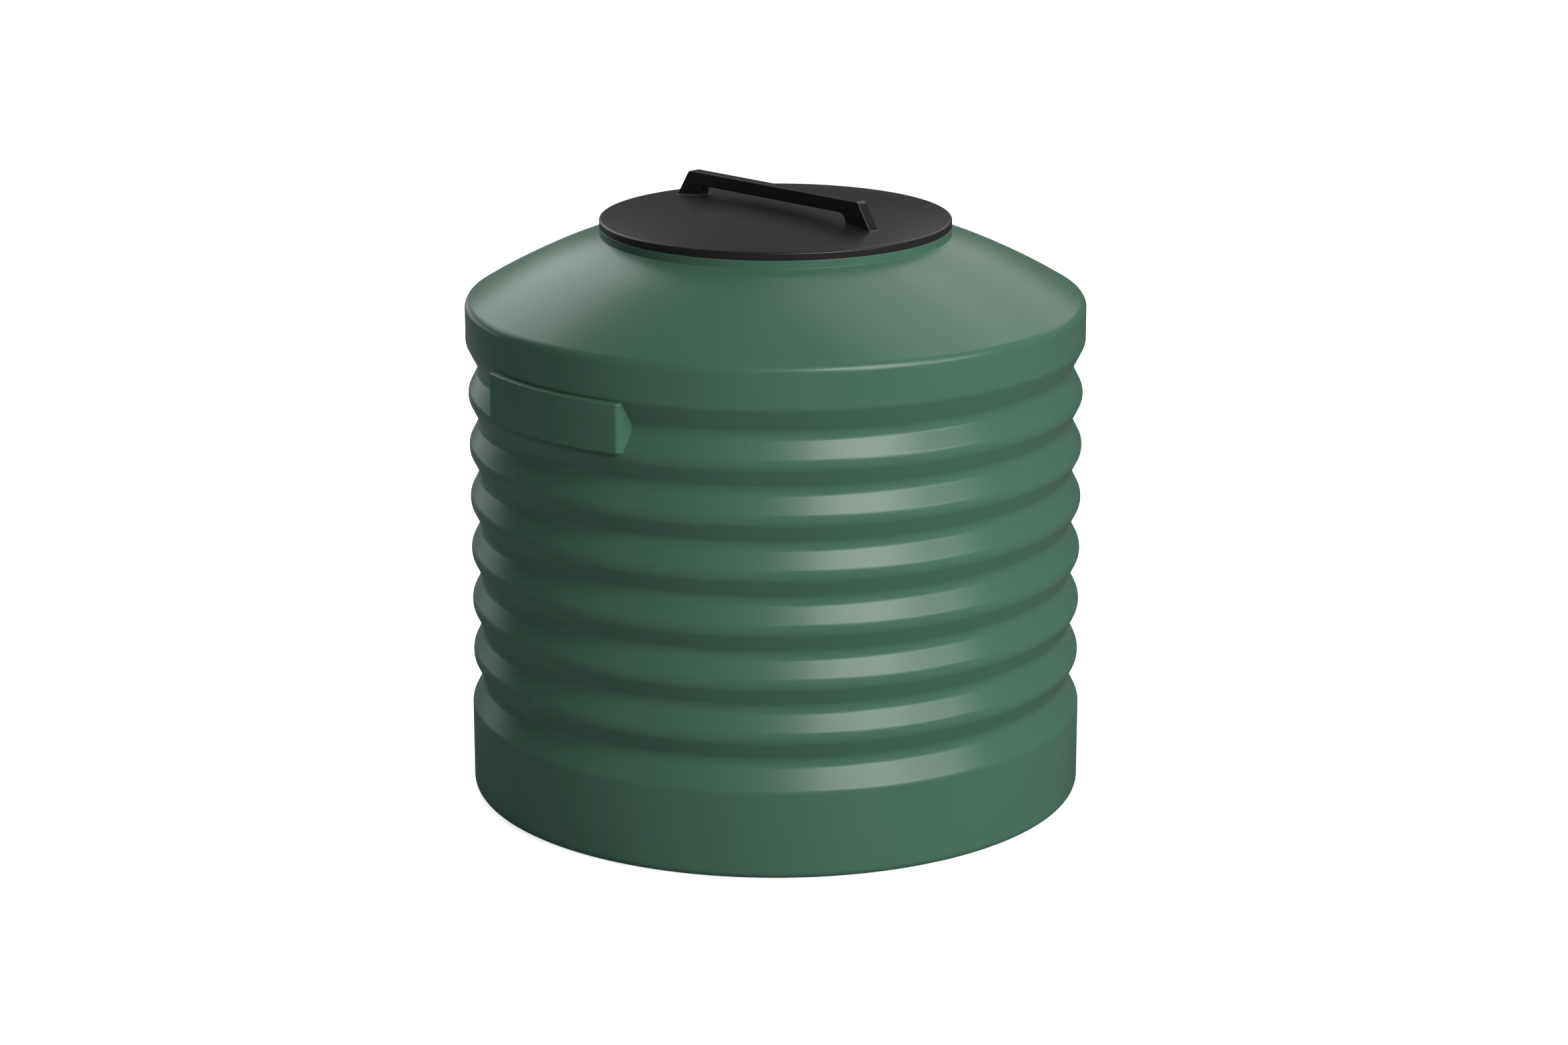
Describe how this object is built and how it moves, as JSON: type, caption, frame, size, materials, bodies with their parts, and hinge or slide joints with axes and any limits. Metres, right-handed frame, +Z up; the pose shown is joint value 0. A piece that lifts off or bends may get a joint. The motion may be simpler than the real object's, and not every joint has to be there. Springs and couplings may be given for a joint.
{
  "type": "water tank",
  "caption": "Round ribbed plastic water storage tank with a sloped roof, a raised label pad on its wall and a lift-off domed lid with a bar handle",
  "frame": {"origin": "centre of the base on the floor", "axes": "Z up along the tank's axis, the label pad faces -Y, the lid handle runs along X"},
  "size_m": [0.92, 0.926, 0.9135],
  "materials": {
    "tank_green": "satin moulded polyethylene, mid green",
    "lid_black": "fine-textured black plastic"
  },
  "bodies": {
    "tank": {"tank_floor": "tank_green", "lower_wall_1": "tank_green", "lower_wall_2": "tank_green", "lower_wall_3": "tank_green", "lower_wall_4": "tank_green", "lower_wall_5": "tank_green", "lower_wall_6": "tank_green", "lower_wall_7": "tank_green", "lower_wall_8": "tank_green", "upper_wall_1": "tank_green", "upper_wall_2": "tank_green", "upper_wall_3": "tank_green", "upper_wall_4": "tank_green", "upper_wall_5": "tank_green", "upper_wall_6": "tank_green", "upper_wall_7": "tank_green", "upper_wall_8": "tank_green", "roof_1": "tank_green", "roof_2": "tank_green", "roof_3": "tank_green", "roof_4": "tank_green", "roof_5": "tank_green", "roof_6": "tank_green", "roof_7": "tank_green", "roof_8": "tank_green", "access_neck_1": "tank_green", "access_neck_2": "tank_green", "access_neck_3": "tank_green", "access_neck_4": "tank_green", "access_neck_5": "tank_green", "access_neck_6": "tank_green", "access_neck_7": "tank_green", "access_neck_8": "tank_green", "label_pad": "tank_green"},
    "lid": {"lid_plate": "lid_black", "lid_locating_ring_1": "lid_black", "lid_locating_ring_2": "lid_black", "lid_locating_ring_3": "lid_black", "lid_locating_ring_4": "lid_black", "lid_locating_ring_5": "lid_black", "lid_locating_ring_6": "lid_black", "lid_locating_ring_7": "lid_black", "lid_locating_ring_8": "lid_black", "lid_handle": "lid_black"}
  },
  "joints": [
    {"name": "lid_lift", "type": "slide", "parent": "tank", "child": "lid", "axis": [0, 0, 1], "range_m": [0, 0.35]}
  ]
}
